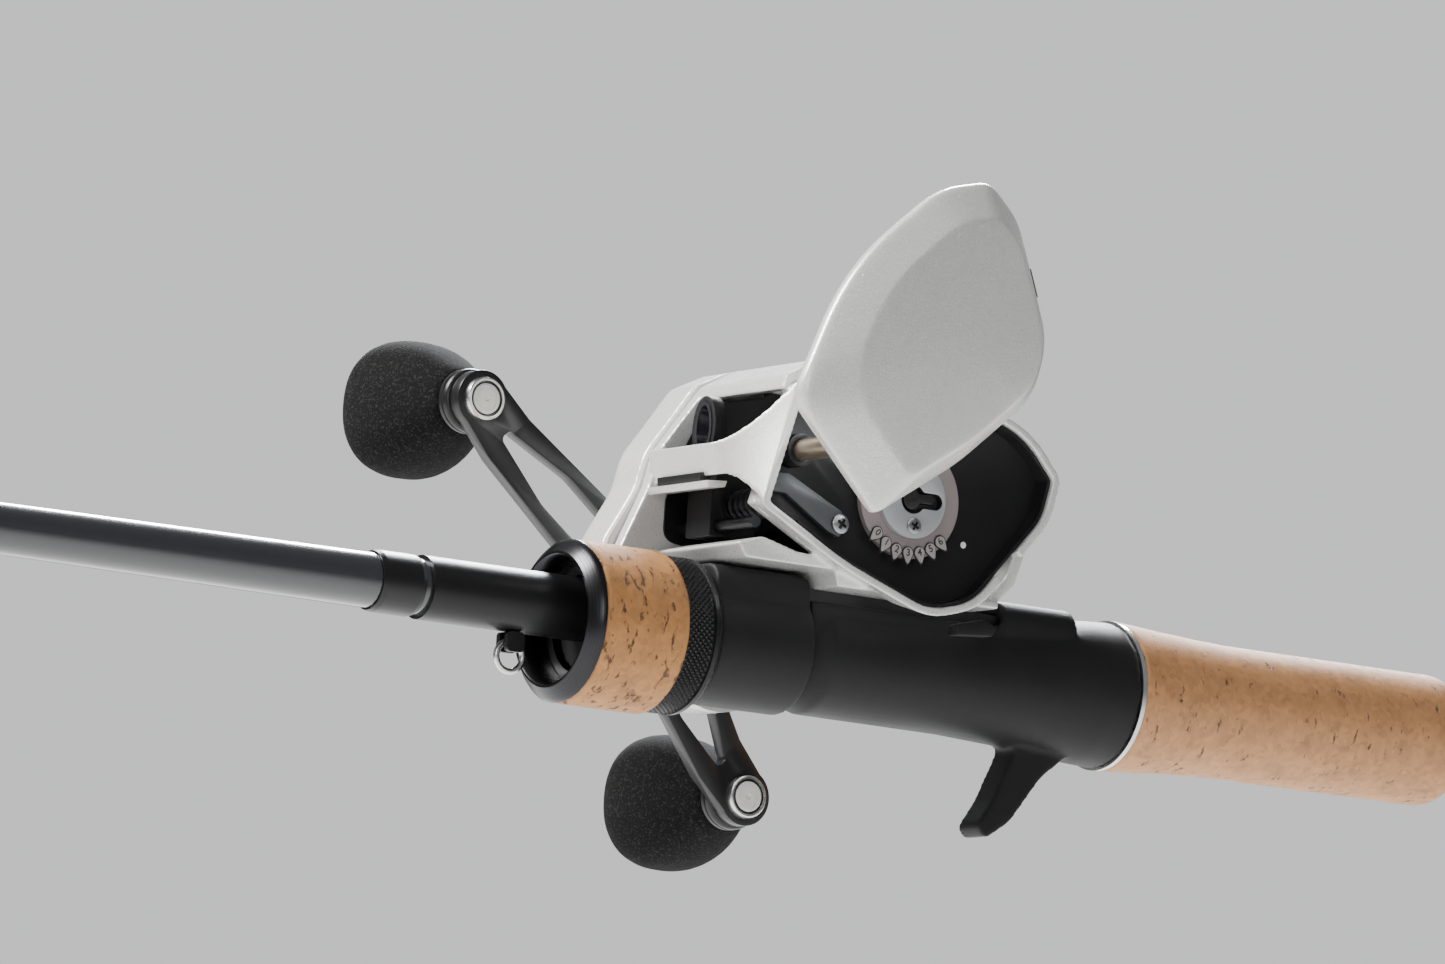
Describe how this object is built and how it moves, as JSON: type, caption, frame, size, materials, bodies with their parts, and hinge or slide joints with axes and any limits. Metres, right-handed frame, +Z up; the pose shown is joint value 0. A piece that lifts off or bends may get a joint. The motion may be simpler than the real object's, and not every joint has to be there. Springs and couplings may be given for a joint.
{
  "type": "fishing rod and reel",
  "caption": "Short casting rod with cork grips and a low-profile reel whose side cover swings open to the brake dial.",
  "frame": {"origin": "on the grips' axis, in the middle of the rear grip's straight stretch", "axes": "+X along the rod toward the butt, +Z up on the reel's side, handle toward +Y"},
  "size_m": [0.914, 0.1349, 0.1213],
  "materials": {
    "gloss_blank": "clear-coated dark graphite",
    "matte_black": "matte black",
    "dark_trim": "black anodised",
    "ring_insert": "polished ceramic",
    "thread": "thread wrap under epoxy",
    "cork": "sanded natural cork",
    "butt_rubber": "matte",
    "bright_metal": "machined",
    "pearl_white": "pearl white metallic flake",
    "dial_grey": "satin anodised",
    "brass_gear": "cut",
    "black_alloy": "gloss black anodised",
    "drag_fibre": "woven fibre",
    "white_nylon": "moulded",
    "eva_foam": "closed-cell foam"
  },
  "bodies": {
    "rod": {"rod_blank": "gloss_blank", "blank_sleeve": "matte_black", "trim_collar": "dark_trim", "guide_frame_1": "dark_trim", "guide_frame_2": "dark_trim", "guide_frame_3": "dark_trim", "guide_frame_4": "dark_trim", "guide_frame_5": "dark_trim", "guide_rings": "ring_insert", "guide_wraps": "thread", "tip_top": "matte_black", "keeper_lug": "matte_black", "rear_grip": "cork", "butt_cap": "butt_rubber", "seat_ring": "bright_metal", "reel_seat": "matte_black", "reel_foot": "black_alloy", "reel_frame": "pearl_white", "gear_plate": "matte_black", "gear_case": "pearl_white", "palm_plate": "matte_black", "brake_disc": "dial_grey", "pin_keeper": "bright_metal", "screws": "bright_metal", "brake_drum": "black_alloy", "one_way_clutch": "bright_metal", "ball_bearings": "bright_metal", "guide_rod": "bright_metal"},
    "seat_hood": {"moving_hood": "matte_black"},
    "seat_nut": {"lock_nut": "dark_trim", "fore_grip": "cork", "fore_bezel": "dark_trim"},
    "keeper": {"hook_keeper": "dark_trim"},
    "crank": {"drive_shaft": "bright_metal", "main_gear": "brass_gear", "shaft_gear": "brass_gear", "drag_washers": "drag_fibre", "handle_arm": "black_alloy", "handle_nut": "black_alloy", "knob_spindles": "bright_metal"},
    "star": {"star_drag": "black_alloy"},
    "upper_knob": {"knob_upper": "eva_foam", "knob_collar_upper": "bright_metal"},
    "lower_knob": {"knob_lower": "eva_foam", "knob_collar_lower": "bright_metal"},
    "spool": {"spool": "black_alloy", "spool_shaft": "bright_metal", "pinion": "brass_gear", "brake_blocks": "white_nylon"},
    "worm": {"worm_shaft": "bright_metal", "worm_gear": "brass_gear"},
    "line_guide": {"line_guide": "matte_black", "line_eye": "ring_insert"},
    "thumb_bar": {"thumb_bar": "matte_black"},
    "cast_control": {"cast_cap": "black_alloy"},
    "brake_dial": {"brake_dial": "dial_grey"},
    "cover_pin": {"hinge_pin": "bright_metal"},
    "side_cover": {"side_cover": "pearl_white", "cover_hook": "matte_black"},
    "latch": {"cover_latch": "matte_black"}
  },
  "joints": [
    {"name": "handle_crank", "type": "hinge", "parent": "rod", "child": "crank", "pos_m": [-0.13, 0, 0.01272], "axis": [0, 1, 0], "continuous": true},
    {"name": "upper_knob_spin", "type": "hinge", "parent": "crank", "child": "upper_knob", "pos_m": [-0.16243, 0, 0.04701], "axis": [0, 1, 0], "continuous": true},
    {"name": "lower_knob_spin", "type": "hinge", "parent": "crank", "child": "lower_knob", "pos_m": [-0.09757, 0, -0.02157], "axis": [0, 1, 0], "continuous": true},
    {"name": "spool_spin", "type": "hinge", "parent": "rod", "child": "spool", "pos_m": [-0.113, 0, 0.0288], "axis": [0, 1, 0], "continuous": true},
    {"name": "worm_spin", "type": "hinge", "parent": "rod", "child": "worm", "pos_m": [-0.1385, 0, 0.0258], "axis": [0, 1, 0], "continuous": true},
    {"name": "line_guide_travel", "type": "slide", "parent": "rod", "child": "line_guide", "axis": [0, 1, 0], "range_m": [-0.0115, 0.0035]},
    {"name": "thumb_bar_press", "type": "slide", "parent": "rod", "child": "thumb_bar", "axis": [0, 0, -1], "range_m": [0, 0.004]},
    {"name": "star_drag_turn", "type": "hinge", "parent": "crank", "child": "star", "pos_m": [-0.13, 0, 0.01272], "axis": [0, 1, 0], "range_deg": [-180, 180]},
    {"name": "cast_control_turn", "type": "hinge", "parent": "rod", "child": "cast_control", "pos_m": [-0.113, 0, 0.0288], "axis": [0, 1, 0], "range_deg": [-180, 180]},
    {"name": "brake_dial_turn", "type": "hinge", "parent": "rod", "child": "brake_dial", "pos_m": [-0.113, 0, 0.0288], "axis": [0, 1, 0], "range_deg": [0, 90]},
    {"name": "cover_push", "type": "slide", "parent": "rod", "child": "cover_pin", "axis": [0, 1, 0], "range_m": [0, 0.014]},
    {"name": "cover_swing", "type": "hinge", "parent": "cover_pin", "child": "side_cover", "pos_m": [-0.1395, 0, 0.0345], "axis": [0, 1, 0], "range_deg": [0, 61]},
    {"name": "latch_slide", "type": "slide", "parent": "rod", "child": "latch", "axis": [1, 0, 0], "range_m": [0, 0.0025]},
    {"name": "hood_slide", "type": "slide", "parent": "rod", "child": "seat_hood", "axis": [1, 0, 0], "range_m": [-0.0061, 0]},
    {"name": "nut_turn", "type": "hinge", "parent": "seat_hood", "child": "seat_nut", "pos_m": [-0.15, 0, 0], "axis": [1, 0, 0], "range_deg": [-1440, 0]},
    {"name": "keeper_fold", "type": "hinge", "parent": "rod", "child": "keeper", "pos_m": [-0.186, 0, -0.0061], "axis": [0, 1, 0], "range_deg": [-50, 50]}
  ],
  "couplings": [
    {"joint": "spool_spin", "follows": "handle_crank", "ratio": -6.8},
    {"joint": "worm_spin", "follows": "handle_crank", "ratio": -1.8889},
    {"joint": "hood_slide", "follows": "nut_turn", "m_per_rad": 0.00023873}
  ]
}
